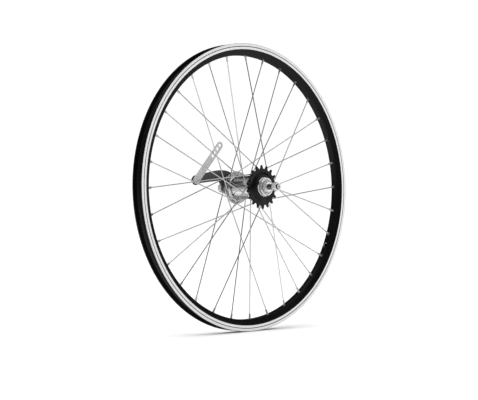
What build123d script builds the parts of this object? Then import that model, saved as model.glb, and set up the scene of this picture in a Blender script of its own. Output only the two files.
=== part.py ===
from build123d import *
import math
import os

# Rear bicycle wheel with a coaster-brake hub, in millimetres.
# The wheel's centre is the origin and the axle lies along Y: the sprocket is on
# the -Y end, the brake arm on the +Y end, and Z points up.

# Rim: a hooked double-wall section for a 24-inch (507) tyre
BEAD_SEAT_RADIUS = 253.5
SIDEWALL_HEIGHT = 6.5
RIM_WIDTH = 24.4
RIM_HEIGHT = 21.0
BED_WIDTH = 13.0
RIM_WALL = 1.3
TRACK_HEIGHT = 11.4
TRACK_DRAFT = 0.5
GROOVE_WIDTH = 1.4
GROOVE_DEPTH = 0.5
INNER_WIDTH = 19.0
EDGE_BREAK = 0.6
HOOK_HEIGHT = 2.4
HOOK_UNDERCUT = 1.1
SEAT_WIDTH = 3.6
WELL_DEPTH = 2.6
WELL_WIDTH = 11.0
ACCESS_HOLE_DIAMETER = 7.8
VALVE_HOLE_DIAMETER = 8.5
VALVE_AFTER_SPOKE = 12

# Spokes and nipples
SPOKE_COUNT = 32
CROSSES = 3
FIRST_SPOKE_ANGLE = 102.64
SPOKE_DIAMETER = 2.0
SPOKE_HEAD_DIAMETER = 3.8
SPOKE_HEAD_THICKNESS = 0.8
SPOKE_BEND_RADIUS = 1.2
SPOKE_SEAT_GAP = 0.05
SPOKE_HOLE_CLEARANCE = 0.3
NIPPLE_REACH = 9.4
NIPPLE_SQUARE = 3.3
NIPPLE_HEAD_DIAMETER = 6.2
NIPPLE_HEAD_HEIGHT = 2.0
NIPPLE_HOLE_CLEARANCE = 0.1
NIPPLE_BORE_CLEARANCE = 0.05

# Hub shell
FLANGE_SPACING = 56.0
FLANGE_THICKNESS = 3.0
FLANGE_BLEND = 2.5
FLANGE_EDGE_BREAK = 0.7
HOLE_TO_COLLAR = 2.64
HOLE_TO_EDGE = 4.0
DRUM_RADIUS = 18.0
SHELL_WALL = 3.0
COLLAR_LENGTH = 3.5
COLLAR_WALL = 2.1
CLUTCH_BORE_RADIUS = 16.6
CLUTCH_TAPER_LENGTH = 12.0
DRUM_END = -6.0

# Ball bearings of the cup-and-cone kind: ball radius, pitch radius, ball count
BRAKE_BALL_RADIUS = 3.175
BRAKE_PITCH_RADIUS = 16.6
BRAKE_BALL_COUNT = 10
SHELL_BALL_RADIUS = 2.381
SHELL_PITCH_RADIUS = 17.2
SHELL_BALL_COUNT = 14
DRIVER_BALL_RADIUS = 2.381
DRIVER_PITCH_RADIUS = 10.2
DRIVER_BALL_COUNT = 9
BEARING_INSET = 1.0
BALL_CLEARANCE = 0.12
CAGE_CLEARANCE = 0.4
CAGE_THICKNESS = 0.8
CAGE_FINGER = 1.6

# Axle, cones, locknuts and nuts
AXLE_DIAMETER = 10.0
AXLE_STANDOUT = 2.5
AXLE_CHAMFER = 0.8
SEAT_GROOVE_WIDTH = 0.5
SEAT_GROOVE_DEPTH = 0.4
THREAD_CLEARANCE = 0.05
LOCKNUT_ACROSS_FLATS = 17.0
LOCKNUT_THICKNESS = 4.0
AXLE_NUT_ACROSS_FLATS = 15.0
AXLE_NUT_THICKNESS = 8.5
DROPOUT_ROOM = 13.0
NUT_CHAMFER_ANGLE = 30.0
CONE_STANDOUT = 1.5

# Driver, sprocket and what holds it
SCREW_RADIUS = 8.0
SCREW_END = -3.0
SCREW_LENGTH = 17.5
DRIVER_BORE_RADIUS = 6.2
DRIVER_BEARING_DEPTH = 5.3
SEAT_RADIUS = 16.2
SPROCKET_TEETH = 18
CHAIN_PITCH = 12.7
ROLLER_RADIUS = 4.0
TOOTH_HEIGHT = 3.0
TOOTH_TIP_WIDTH = 2.2
TOOTH_BEVEL = 0.6
TOOTH_PHASE = 92.5
SPROCKET_OFFSET = 9.5
SPROCKET_THICKNESS = 2.6
SPROCKET_DISH = 4.0
DISH_INNER_RADIUS = 22.0
DISH_OUTER_RADIUS = 27.0
LUG_COUNT = 3
LUG_PHASE = 157.0
LUG_WIDTH = 5.0
LUG_DEPTH = 1.2
SEAT_CLEARANCE = 0.1
RING_THICKNESS = 1.4
RING_OUTER_RADIUS = 17.0
RING_GROOVE_DEPTH = 1.2
RING_GAP_ANGLE = 157.0
RING_GAP = 7.0
DRIVER_END_LAND = 5.0

# Dust caps
CAP_THICKNESS = 0.9
CAP_RISE = 2.0
CAP_RUNNING_GAP = 0.4
DRIVER_CAP_RUNNING_GAP = 0.3

# Clutch, its drag spring and the brake shoes
CLUTCH_REST_GAP = 0.35
CLUTCH_SCREW_CLEARANCE = 0.3
CLUTCH_BODY_START = -3.5
EXPANDER_LENGTH = 7.0
EXPANDER_SMALL_RADIUS = 10.2
EXPANDER_RISE = 2.0
SPRING_SEAT_RADIUS = 14.2
SPRING_SEAT_LENGTH = 3.0
SPRING_HEIGHT = 1.6
SPRING_WIDTH = 2.0
SPRING_CLEARANCE = 0.1
SPRING_GAP_ANGLE = 60.0
SHOE_LENGTH = 19.5
SHOE_INNER_RADIUS = 10.9
SHOE_DRUM_GAP = 0.6
SHOE_EXPANDER_GAP = 0.45
SHOE_SPLIT = 6.0
SHOE_CLUTCH_GAP = 2.5

# Brake arm, arm clip and their bolt
ARM_OFFSET = 9.4
ARM_THICKNESS = 2.6
ARM_DRIVE_SQUARE = 15.0
ARM_FIT = 0.05
ARM_NECK_RADIUS = 13.0
ARM_HUB_RADIUS = 18.5
ARM_END_RADIUS = 8.8
BOLT_X = -87.5
BOLT_Z = 12.1
ARM_MIDDLE_HEIGHT = 26.8
ARM_SHOULDER_HEIGHT = 31.7
ARM_CROWN_HEIGHT = 27.8
ARM_GUSSET_HEIGHT = 9.0
ARM_FOLD_HEIGHT = 17.2
ARM_FOLD_SLOPE = 0.12
ARM_LIP_HEIGHT = 6.4
ARM_LIP_ANGLE = 40.0
ARM_CHEEK_ANGLE = 36.0
BOLT_RADIUS = 3.0
BOLT_ACROSS_FLATS = 10.0
BOLT_HEAD_HEIGHT = 4.0
BOLT_NUT_HEIGHT = 5.0
BOLT_SPARE = 1.5
CLIP_WIDTH = 14.0
CLIP_THICKNESS = 2.0
CLIP_REACH = 86.5
CLIP_ANGLE = 48.4
CLIP_HOLE_DIAMETER = 6.5
CLIP_HOLE_PITCH = 8.8
CLIP_HOLE_COUNT = 4
CLIP_SIDE_GAP = 0.1
CLIP_PIVOT_CLEARANCE = 0.08

# Values that follow from the driving dimensions
RIM_RADIUS = BEAD_SEAT_RADIUS + SIDEWALL_HEIGHT
BED_RADIUS = RIM_RADIUS - RIM_HEIGHT
WELL_RADIUS = BEAD_SEAT_RADIUS - WELL_DEPTH
FLANGE_Y = FLANGE_SPACING / 2
SHELL_END = FLANGE_Y + FLANGE_THICKNESS / 2 + COLLAR_LENGTH
BARREL_RADIUS = DRUM_RADIUS + SHELL_WALL
AXLE_RADIUS = AXLE_DIAMETER / 2
THREAD_BORE = AXLE_RADIUS + THREAD_CLEARANCE
SPOKE_RADIUS = SPOKE_DIAMETER / 2
SPOKE_STEP = 360.0 / SPOKE_COUNT
CROSS_ANGLE = math.radians(CROSSES * 2 * SPOKE_STEP)
BRAKE_BEARING_STATION = FLANGE_Y - BEARING_INSET
SHELL_BEARING_STATION = -BRAKE_BEARING_STATION
SPROCKET_STATION = -FLANGE_Y - SPROCKET_OFFSET
SPROCKET_WEB_STATION = SPROCKET_STATION - SPROCKET_DISH
SHOULDER_STATION = SPROCKET_WEB_STATION + SPROCKET_THICKNESS / 2
RING_STATION = SHOULDER_STATION - SPROCKET_THICKNESS - SEAT_CLEARANCE
DRIVER_END = RING_STATION - RING_THICKNESS - SEAT_CLEARANCE - DRIVER_END_LAND
DRIVER_BEARING_STATION = DRIVER_END + DRIVER_BEARING_DEPTH
DRIVE_LOCKNUT_STATION = DRIVER_END - CONE_STANDOUT
DRIVE_NUT_STATION = DRIVE_LOCKNUT_STATION - LOCKNUT_THICKNESS - DROPOUT_ROOM
ARM_STATION = SHELL_END + ARM_OFFSET
ARM_FACE = ARM_STATION + ARM_THICKNESS
BRAKE_NUT_STATION = ARM_FACE + LOCKNUT_THICKNESS + DROPOUT_ROOM
CLIP_STATION = ARM_STATION - CLIP_SIDE_GAP - CLIP_THICKNESS
EXPANDER_SLOPE = EXPANDER_RISE / EXPANDER_LENGTH
SHOE_START = CLUTCH_BODY_START + SHOE_CLUTCH_GAP
SHOE_END = SHOE_START + SHOE_LENGTH
BRAKE_EXPANDER_END = SHOE_END + SHOE_CLUTCH_GAP


def contact_offset(ball_radius):
    """How far a race's contact point lies from the ball's centre, along Y and along the radius."""
    return (ball_radius + BALL_CLEARANCE) / math.sqrt(2)


BRAKE_OFFSET = contact_offset(BRAKE_BALL_RADIUS)
SHELL_OFFSET = contact_offset(SHELL_BALL_RADIUS)
DRIVER_OFFSET = contact_offset(DRIVER_BALL_RADIUS)
BRAKE_CUP = BRAKE_PITCH_RADIUS + 2 * BRAKE_OFFSET
SHELL_CUP = SHELL_PITCH_RADIUS + 2 * SHELL_OFFSET
DRIVER_CUP = DRIVER_PITCH_RADIUS + 2 * DRIVER_OFFSET
COLLAR_RADIUS = max(BRAKE_CUP, SHELL_CUP) + COLLAR_WALL
PITCH_RADIUS = COLLAR_RADIUS + HOLE_TO_COLLAR
FLANGE_RADIUS = PITCH_RADIUS + HOLE_TO_EDGE


def turned(points):
    """A solid of revolution about the axle, from (station along Y, radius) points."""
    outline = Polyline([(radius, station) for station, radius in points], close=True)
    return revolve(make_face(outline), Axis.Y)


def standing(sketch, start, end):
    """A flat shape drawn in X and Z, standing between two stations along Y."""
    return extrude(Plane.XZ.offset(-start) * sketch, amount=start - end)


def at_angle(degrees, part):
    """A part modelled at the top of the wheel, carried round to an angle counted from +X to +Z."""
    return Rot(Y=90 - degrees) * part


def save(name, *solids):
    shape = solids[0] if len(solids) == 1 else Compound(children=list(solids))
    export_step(shape, os.path.join("parts", name + ".step"))


# Spokes: four kinds, each modelled with its nipple at the top of the wheel

def spoke_angle(index):
    return FIRST_SPOKE_ANGLE - SPOKE_STEP * index


def flange_lean():
    """How much further out an outside elbow stands, so that its spoke clears the flange's edge."""
    away = BED_RADIUS * math.cos(CROSS_ANGLE) - PITCH_RADIUS
    span = math.hypot(away, BED_RADIUS * math.sin(CROSS_ANGLE))
    forward = PITCH_RADIUS * away / span
    reach = math.sqrt(forward**2 + FLANGE_RADIUS**2 - PITCH_RADIUS**2) - forward
    return (reach + SPOKE_RADIUS) * (FLANGE_Y + FLANGE_THICKNESS) / span


def spoke_ends(kind):
    """The head, the elbow and the rim end of one kind of spoke."""
    side = 1 if kind % 2 == 0 else -1
    sense = -1 if kind < 2 else 1
    outside = sense < 0
    outward = side if outside else -side
    x = -sense * PITCH_RADIUS * math.sin(CROSS_ANGLE)
    z = PITCH_RADIUS * math.cos(CROSS_ANGLE)
    face = FLANGE_THICKNESS / 2 + SPOKE_SEAT_GAP
    stand = face + SPOKE_RADIUS + (flange_lean() if outside else 0)
    elbow = Vector(x, side * FLANGE_Y + outward * stand, z)
    head = Vector(x, side * FLANGE_Y - outward * (face + SPOKE_HEAD_THICKNESS), z)
    return head, elbow, Vector(0, 0, BED_RADIUS)


def spoke_direction(kind):
    head, elbow, seat = spoke_ends(kind)
    return (seat - elbow).normalized()


def nipple_head_rise(kind):
    """How far along the spoke the nipple's head starts, so that its tilted edge clears the bed."""
    upright = spoke_direction(kind).Z
    tilt = math.sqrt(1 - upright**2)
    return (RIM_WALL + NIPPLE_HOLE_CLEARANCE + tilt * NIPPLE_HEAD_DIAMETER / 2) / upright


def make_spoke(kind):
    head, elbow, seat = spoke_ends(kind)
    end = seat + spoke_direction(kind) * RIM_WALL
    along = (elbow - head).normalized()
    path = FilletPolyline(head, elbow, end, radius=SPOKE_BEND_RADIUS)
    wire = sweep(Plane(head, z_dir=along) * Circle(SPOKE_RADIUS), path)
    button = extrude(Plane(head, z_dir=along) * Circle(SPOKE_HEAD_DIAMETER / 2), SPOKE_HEAD_THICKNESS)
    return wire + button


def make_nipple(kind):
    seat = Vector(0, 0, BED_RADIUS)
    direction = spoke_direction(kind)
    rise = nipple_head_rise(kind)
    mouth = Plane(seat - direction * NIPPLE_REACH, x_dir=(1, 0, 0), z_dir=direction)
    collar = Plane(seat + direction * rise, x_dir=(1, 0, 0), z_dir=direction)
    shank = extrude(mouth * Rectangle(NIPPLE_SQUARE, NIPPLE_SQUARE), NIPPLE_REACH + rise)
    head = extrude(collar * Circle(NIPPLE_HEAD_DIAMETER / 2), NIPPLE_HEAD_HEIGHT)
    bore_radius = SPOKE_RADIUS + NIPPLE_BORE_CLEARANCE
    bore = extrude(mouth * Circle(bore_radius), NIPPLE_REACH + RIM_WALL + NIPPLE_BORE_CLEARANCE)
    return shank + head - bore


def make_nipple_hole(kind):
    direction = spoke_direction(kind)
    radius = NIPPLE_SQUARE / math.sqrt(2) + NIPPLE_HOLE_CLEARANCE
    start = Plane(Vector(0, 0, BED_RADIUS) - direction * RIM_WALL, z_dir=direction)
    return extrude(start * Circle(radius), 3 * RIM_WALL)


# Rim

def rim_outline():
    """Half of the rim's section as (station, radius) points, from the bed round to the well floor."""
    edge = RIM_WIDTH / 2
    track_radius = RIM_RADIUS - TRACK_HEIGHT
    track_edge = edge - TRACK_DRAFT
    groove_radius = RIM_RADIUS - TRACK_HEIGHT / 2
    groove_edge = edge - TRACK_DRAFT / 2
    lip = INNER_WIDTH / 2
    half_groove = GROOVE_WIDTH / 2
    groove_slope = TRACK_DRAFT / TRACK_HEIGHT * half_groove
    return [
        (BED_WIDTH / 2, BED_RADIUS),
        (track_edge, track_radius),
        (groove_edge - groove_slope, groove_radius - half_groove),
        (groove_edge - GROOVE_DEPTH, groove_radius),
        (groove_edge + groove_slope, groove_radius + half_groove),
        (edge, RIM_RADIUS - EDGE_BREAK),
        (edge - EDGE_BREAK, RIM_RADIUS),
        (lip + EDGE_BREAK, RIM_RADIUS),
        (lip, RIM_RADIUS - EDGE_BREAK),
        (lip, RIM_RADIUS - HOOK_HEIGHT),
        (lip + HOOK_UNDERCUT, BEAD_SEAT_RADIUS),
        (lip + HOOK_UNDERCUT - SEAT_WIDTH, BEAD_SEAT_RADIUS),
        (WELL_WIDTH / 2, WELL_RADIUS),
    ]


def rim_cavity():
    """The closed chamber between the spoke bed and the tyre well."""
    rise = RIM_HEIGHT - TRACK_HEIGHT
    run = (RIM_WIDTH - BED_WIDTH) / 2 - TRACK_DRAFT
    wall = RIM_WALL * math.hypot(rise, run) / rise
    low = BED_RADIUS + RIM_WALL
    high = WELL_RADIUS - RIM_WALL
    low_half = BED_WIDTH / 2 + RIM_WALL * run / rise - wall
    high_half = low_half + (high - low) * run / rise
    return turned([(-low_half, low), (low_half, low), (high_half, high), (-high_half, high)])


def make_rim():
    half = rim_outline()
    section = half + [(-station, radius) for station, radius in reversed(half)]
    access = Pos(0, 0, WELL_RADIUS) * Cylinder(ACCESS_HOLE_DIAMETER / 2, 2 * WELL_DEPTH)
    holes = []
    for index in range(SPOKE_COUNT):
        holes.append(at_angle(spoke_angle(index), make_nipple_hole(index % 4)))
        holes.append(at_angle(spoke_angle(index), access))
    valve_middle = Pos(0, 0, (BED_RADIUS + WELL_RADIUS) / 2)
    valve_hole = valve_middle * Cylinder(VALVE_HOLE_DIAMETER / 2, RIM_HEIGHT)
    holes.append(at_angle(spoke_angle(VALVE_AFTER_SPOKE - 0.5), valve_hole))
    return turned(section) - rim_cavity() - holes


# Hub shell

def make_hub_shell():
    near = FLANGE_Y - FLANGE_THICKNESS / 2
    far = FLANGE_Y + FLANGE_THICKNESS / 2
    blend = BARREL_RADIUS + FLANGE_BLEND
    outside = [
        (SHELL_END, COLLAR_RADIUS),
        (far, COLLAR_RADIUS),
        (far, FLANGE_RADIUS - FLANGE_EDGE_BREAK),
        (far - FLANGE_EDGE_BREAK, FLANGE_RADIUS),
        (near + FLANGE_EDGE_BREAK, FLANGE_RADIUS),
        (near, FLANGE_RADIUS - FLANGE_EDGE_BREAK),
        (near, blend),
        (near - FLANGE_BLEND, BARREL_RADIUS),
    ]
    outside += [(-station, radius) for station, radius in reversed(outside)]
    inside = [
        (-SHELL_END, SHELL_CUP),
        (SHELL_BEARING_STATION, SHELL_CUP),
        (SHELL_BEARING_STATION + SHELL_CUP - CLUTCH_BORE_RADIUS, CLUTCH_BORE_RADIUS),
        (DRUM_END - CLUTCH_TAPER_LENGTH, CLUTCH_BORE_RADIUS),
        (DRUM_END, DRUM_RADIUS),
        (BRAKE_BEARING_STATION - BRAKE_CUP + DRUM_RADIUS, DRUM_RADIUS),
        (BRAKE_BEARING_STATION, BRAKE_CUP),
        (SHELL_END, BRAKE_CUP),
    ]
    hole = Cylinder(SPOKE_RADIUS + SPOKE_HOLE_CLEARANCE, 2 * FLANGE_THICKNESS)
    holes = []
    for index in range(SPOKE_COUNT):
        head, elbow, seat = spoke_ends(index % 4)
        side = math.copysign(FLANGE_Y, head.Y)
        holes.append(at_angle(spoke_angle(index), Pos(head.X, side, head.Z) * Rot(X=90) * hole))
    return turned(outside + inside) - holes


# Ball bearings: each retainer is a ring with fingers between the balls

def make_ball(radius):
    """A ball with flat facets whose corners lie on the sphere."""
    corner = radius / math.sqrt(2 + (1 + math.sqrt(2)) ** 2)
    width = 2 * corner * (1 + math.sqrt(2))
    cube = Box(width, width, width)
    return chamfer(cube.edges(), (width - 2 * corner) / 2)


def make_retainer(station, outboard, ball_radius, pitch_radius, count):
    offset = contact_offset(ball_radius)
    back = ball_radius + BALL_CLEARANCE
    inner = pitch_radius - 2 * offset + back + CAGE_THICKNESS + CAGE_CLEARANCE
    outer = pitch_radius + 2 * offset - CAGE_CLEARANCE
    start = station + outboard * back
    end = start + outboard * CAGE_THICKNESS
    cage = turned([(start, inner), (end, inner), (end, outer), (start, outer)])
    depth = back + CAGE_THICKNESS / 2
    finger_radius = pitch_radius + CAGE_CLEARANCE + CAGE_FINGER / 2
    finger = Pos(0, station + outboard * depth / 2, finger_radius) * Box(CAGE_FINGER, depth, CAGE_FINGER)
    step = 360.0 / count
    cage += [at_angle(90 + step * (number + 0.5), finger) for number in range(count)]
    ball = Pos(0, station, pitch_radius) * make_ball(ball_radius)
    return [cage] + [at_angle(90 + step * number, ball) for number in range(count)]


# Axle and the pieces fixed on it

def axle_end(nut_station, outboard):
    """One end of the axle's outline, from its tip inwards: the dropout's seat lies between two grooves."""
    locknut_face = nut_station - outboard * DROPOUT_ROOM
    groove = AXLE_RADIUS - SEAT_GROOVE_DEPTH
    width = outboard * SEAT_GROOVE_WIDTH
    tip = nut_station + outboard * (AXLE_NUT_THICKNESS + AXLE_STANDOUT)
    return [
        (tip, 0),
        (tip, AXLE_RADIUS - AXLE_CHAMFER),
        (tip - outboard * AXLE_CHAMFER, AXLE_RADIUS),
        (nut_station, AXLE_RADIUS),
        (nut_station, groove),
        (nut_station - width, groove),
        (nut_station - width, AXLE_RADIUS),
        (locknut_face + width, AXLE_RADIUS),
        (locknut_face + width, groove),
        (locknut_face, groove),
        (locknut_face, AXLE_RADIUS),
    ]


def make_axle():
    drive_end = axle_end(DRIVE_NUT_STATION, -1)
    brake_end = axle_end(BRAKE_NUT_STATION, 1)
    return turned(drive_end + brake_end[::-1])


def make_nut(start, end, across_flats, bore):
    """A hexagon nut with its corners turned off at both ends."""
    corner = across_flats / math.sqrt(3)
    low, high = sorted((start, end))
    hexagon = standing(RegularPolygon(corner, 6, rotation=30), low, high)
    drop = corner - across_flats / 2
    bevel = drop * math.tan(math.radians(NUT_CHAMFER_ANGLE))
    cone = turned(
        [
            (low, bore),
            (low, corner - drop),
            (low + bevel, corner),
            (high - bevel, corner),
            (high, corner - drop),
            (high, bore),
        ]
    )
    return hexagon & cone


def make_brake_cone():
    """The left cone: expander nose, ball race, dust-cap seat, neck and the square that holds the arm."""
    race_top = BRAKE_BEARING_STATION + 2 * BRAKE_OFFSET
    nose = EXPANDER_SMALL_RADIUS + EXPANDER_RISE
    race_low = BRAKE_PITCH_RADIUS - 2 * BRAKE_OFFSET
    cap_end = SHELL_END + CAP_RUNNING_GAP + CAP_RISE + CAP_THICKNESS
    body = turned(
        [
            (BRAKE_EXPANDER_END - EXPANDER_LENGTH, THREAD_BORE),
            (BRAKE_EXPANDER_END - EXPANDER_LENGTH, EXPANDER_SMALL_RADIUS),
            (BRAKE_EXPANDER_END, nose),
            (BRAKE_BEARING_STATION + nose - race_low, nose),
            (race_top, BRAKE_PITCH_RADIUS),
            (cap_end, BRAKE_PITCH_RADIUS),
            (cap_end, ARM_NECK_RADIUS),
            (ARM_STATION, ARM_NECK_RADIUS),
            (ARM_STATION, THREAD_BORE),
        ]
    )
    drive = Rectangle(ARM_DRIVE_SQUARE, ARM_DRIVE_SQUARE) - Circle(THREAD_BORE)
    return body + standing(drive, ARM_STATION, ARM_FACE)


def make_drive_cone():
    race_low = DRIVER_PITCH_RADIUS - 2 * DRIVER_OFFSET
    race_top = DRIVER_BEARING_STATION - 2 * DRIVER_OFFSET
    nose_end = DRIVER_BEARING_STATION + DRIVER_BALL_RADIUS
    return turned(
        [
            (nose_end, THREAD_BORE),
            (nose_end, race_low),
            (DRIVER_BEARING_STATION, race_low),
            (race_top, DRIVER_PITCH_RADIUS),
            (DRIVE_LOCKNUT_STATION, DRIVER_PITCH_RADIUS),
            (DRIVE_LOCKNUT_STATION, THREAD_BORE),
        ]
    )


# Driver, sprocket, snap ring

def lug(width, inner, outer, start, end):
    tall = outer - inner
    return standing(Pos(0, inner + tall / 2) * Rectangle(width, tall), start, end)


def around_seat(part):
    return [at_angle(LUG_PHASE + 360.0 / LUG_COUNT * number, part) for number in range(LUG_COUNT)]


def make_driver():
    race_low = SHELL_PITCH_RADIUS - 2 * SHELL_OFFSET
    race_top = SHELL_BEARING_STATION - 2 * SHELL_OFFSET
    cup_end = DRIVER_BEARING_STATION + 2 * DRIVER_OFFSET
    groove = SEAT_RADIUS - RING_GROOVE_DEPTH
    groove_end = RING_STATION - RING_THICKNESS - SEAT_CLEARANCE
    screw_start = SCREW_END - SCREW_LENGTH
    body = turned(
        [
            (SCREW_END, DRIVER_BORE_RADIUS),
            (SCREW_END, SCREW_RADIUS),
            (screw_start, SCREW_RADIUS),
            (screw_start, race_low),
            (SHELL_BEARING_STATION, race_low),
            (race_top, SHELL_PITCH_RADIUS),
            (SHOULDER_STATION, SHELL_PITCH_RADIUS),
            (SHOULDER_STATION, SEAT_RADIUS),
            (RING_STATION, SEAT_RADIUS),
            (RING_STATION, groove),
            (groove_end, groove),
            (groove_end, SEAT_RADIUS),
            (DRIVER_END, SEAT_RADIUS),
            (DRIVER_END, DRIVER_CUP),
            (DRIVER_BEARING_STATION, DRIVER_CUP),
            (cup_end, DRIVER_PITCH_RADIUS),
            (cup_end, DRIVER_BORE_RADIUS),
        ]
    )
    floor = SEAT_RADIUS - LUG_DEPTH - SEAT_CLEARANCE
    slot = lug(LUG_WIDTH + 2 * SEAT_CLEARANCE, floor, SEAT_RADIUS + LUG_DEPTH, SHOULDER_STATION, DRIVER_END)
    return body - around_seat(slot)


def make_sprocket():
    pitch_radius = CHAIN_PITCH / (2 * math.sin(math.pi / SPROCKET_TEETH))
    tip = pitch_radius + TOOTH_HEIGHT
    half = SPROCKET_THICKNESS / 2
    front = SPROCKET_STATION - half
    back = SPROCKET_STATION + half
    web_front = SPROCKET_WEB_STATION - half
    bore = SEAT_RADIUS + SEAT_CLEARANCE
    bevel_radius = tip - 4 * TOOTH_BEVEL
    disc = turned(
        [
            (SHOULDER_STATION, bore),
            (SHOULDER_STATION, DISH_INNER_RADIUS),
            (back, DISH_OUTER_RADIUS),
            (back, bevel_radius),
            (back - TOOTH_BEVEL, tip),
            (front + TOOTH_BEVEL, tip),
            (front, bevel_radius),
            (front, DISH_OUTER_RADIUS),
            (web_front, DISH_INNER_RADIUS),
            (web_front, bore),
        ]
    )
    mouth = math.pi * tip / SPROCKET_TEETH - TOOTH_TIP_WIDTH / 2
    throat = Polygon(
        (-ROLLER_RADIUS, pitch_radius),
        (ROLLER_RADIUS, pitch_radius),
        (mouth, tip),
        (mouth, tip + TOOTH_HEIGHT),
        (-mouth, tip + TOOTH_HEIGHT),
        (-mouth, tip),
        align=None,
    )
    space = throat + Pos(0, pitch_radius) * Circle(ROLLER_RADIUS)
    gap = standing(space, front - half, back + half)
    step = 360.0 / SPROCKET_TEETH
    gaps = [at_angle(TOOTH_PHASE + step * (number + 0.5), gap) for number in range(SPROCKET_TEETH)]
    key = lug(LUG_WIDTH, SEAT_RADIUS - LUG_DEPTH, bore + half, SHOULDER_STATION, web_front)
    return disc - gaps + around_seat(key)


def make_snap_ring():
    inner = SEAT_RADIUS - RING_GROOVE_DEPTH + SEAT_CLEARANCE
    end = RING_STATION - RING_THICKNESS
    ring = turned(
        [(RING_STATION, inner), (end, inner), (end, RING_OUTER_RADIUS), (RING_STATION, RING_OUTER_RADIUS)]
    )
    notch = lug(RING_GAP, inner / 2, 2 * RING_OUTER_RADIUS, RING_STATION, end)
    return ring - at_angle(RING_GAP_ANGLE, notch)


# Dust caps

def make_cone_cap(start, outboard, inner, outer):
    """A pressed cap that rises from its rim, next to the shell, to its seat."""
    rim = start + outboard * CAP_THICKNESS
    seat = start + outboard * CAP_RISE
    return turned([(start, outer), (rim, outer), (seat + outboard * CAP_THICKNESS, inner), (seat, inner)])


def make_driver_cap():
    inner = DRIVER_PITCH_RADIUS + DRIVER_CAP_RUNNING_GAP
    outer = DRIVER_CUP - THREAD_CLEARANCE
    start = DRIVER_END + CAP_THICKNESS
    return turned([(start, inner), (start, outer), (DRIVER_END, outer), (DRIVER_END, inner)])


# Clutch and brake

def make_clutch_cone():
    slope = (DRUM_RADIUS - CLUTCH_BORE_RADIUS) / CLUTCH_TAPER_LENGTH
    bore = SCREW_RADIUS + CLUTCH_SCREW_CLEARANCE
    front = CLUTCH_BODY_START - SPRING_SEAT_LENGTH
    back = DRUM_END - CLUTCH_TAPER_LENGTH
    front_radius = DRUM_RADIUS - CLUTCH_REST_GAP + (front - DRUM_END) * slope
    nose = EXPANDER_SMALL_RADIUS + EXPANDER_RISE
    return turned(
        [
            (CLUTCH_BODY_START + EXPANDER_LENGTH, bore),
            (CLUTCH_BODY_START + EXPANDER_LENGTH, EXPANDER_SMALL_RADIUS),
            (CLUTCH_BODY_START, nose),
            (CLUTCH_BODY_START, SPRING_SEAT_RADIUS),
            (front, SPRING_SEAT_RADIUS),
            (front, front_radius),
            (back, CLUTCH_BORE_RADIUS - CLUTCH_REST_GAP),
            (back, bore),
        ]
    )


def make_clutch_spring():
    inner = SPRING_SEAT_RADIUS + SPRING_CLEARANCE
    outer = inner + SPRING_HEIGHT
    start = CLUTCH_BODY_START - SPRING_SEAT_LENGTH + SPRING_CLEARANCE
    end = start + SPRING_WIDTH
    outline = [(inner, start), (outer, start), (outer, end), (inner, end)]
    return revolve(make_face(Polyline(outline, close=True)), Axis.Y, 360 - SPRING_GAP_ANGLE)


def make_shoe(side):
    """Half of the split brake cylinder: side is 1 for the upper shoe and -1 for the lower."""
    outer = DRUM_RADIUS - SHOE_DRUM_GAP
    mouth = EXPANDER_SMALL_RADIUS + EXPANDER_RISE - SHOE_CLUTCH_GAP * EXPANDER_SLOPE + SHOE_EXPANDER_GAP
    taper = (mouth - SHOE_INNER_RADIUS) / EXPANDER_SLOPE
    ring = turned(
        [
            (SHOE_START, mouth),
            (SHOE_START, outer),
            (SHOE_END, outer),
            (SHOE_END, mouth),
            (SHOE_END - taper, SHOE_INNER_RADIUS),
            (SHOE_START + taper, SHOE_INNER_RADIUS),
        ]
    )
    middle = (SHOE_START + SHOE_END) / 2
    height = 2 * DRUM_RADIUS
    half = Pos(0, middle, side * (SHOE_SPLIT + height) / 2) * Box(2 * height, 2 * SHOE_LENGTH, height)
    return ring & half


# Brake arm, clip and bolt

def make_brake_arm():
    """A pressed arm: a plate from the hub to the bolt, with a bent lip along its lower edge."""
    end_top = (BOLT_X, BOLT_Z + ARM_END_RADIUS)
    cheek_angle = math.radians(ARM_CHEEK_ANGLE)
    cheek = (ARM_HUB_RADIUS * math.cos(cheek_angle), ARM_HUB_RADIUS * math.sin(cheek_angle))
    fold_x = BOLT_X / 3
    lip_x = BOLT_X + ARM_END_RADIUS
    fold_start = (fold_x, ARM_FOLD_HEIGHT)
    fold_end = (lip_x, ARM_FOLD_HEIGHT + (lip_x - fold_x) * ARM_FOLD_SLOPE)
    hub_left = (-ARM_HUB_RADIUS, 0)
    gusset = (fold_x, ARM_GUSSET_HEIGHT)
    top = Spline(
        end_top,
        (2 * fold_x, ARM_MIDDLE_HEIGHT),
        (fold_x, ARM_SHOULDER_HEIGHT),
        (0, ARM_CROWN_HEIGHT),
        cheek,
    )
    bottom = Polyline(cheek, hub_left, gusset, fold_start, fold_end, end_top)
    bolt = Pos(BOLT_X, BOLT_Z)
    outline = make_face([top, bottom]) + Circle(ARM_HUB_RADIUS) + bolt * Circle(ARM_END_RADIUS)
    square = ARM_DRIVE_SQUARE + 2 * ARM_FIT
    outline -= Rectangle(square, square)
    outline -= bolt * Circle(BOLT_RADIUS + ARM_FIT)
    arm = standing(outline, ARM_STATION, ARM_FACE)
    return arm + make_arm_lip(fold_start, fold_end)


def make_arm_lip(start, end):
    """The strip below the fold, bent away from the wheel."""
    run = math.hypot(start[0] - end[0], start[1] - end[1])
    slope = math.degrees(math.atan2(start[1] - end[1], start[0] - end[0]))
    strip = Box(run, ARM_THICKNESS, ARM_LIP_HEIGHT, align=(Align.MIN, Align.MIN, Align.MAX))
    bent = Rot(X=ARM_LIP_ANGLE) * strip
    return Pos(end[0], ARM_STATION, end[1]) * Rot(Y=-slope) * bent


def bolt_place(part):
    return Pos(BOLT_X, 0, BOLT_Z) * part


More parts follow.
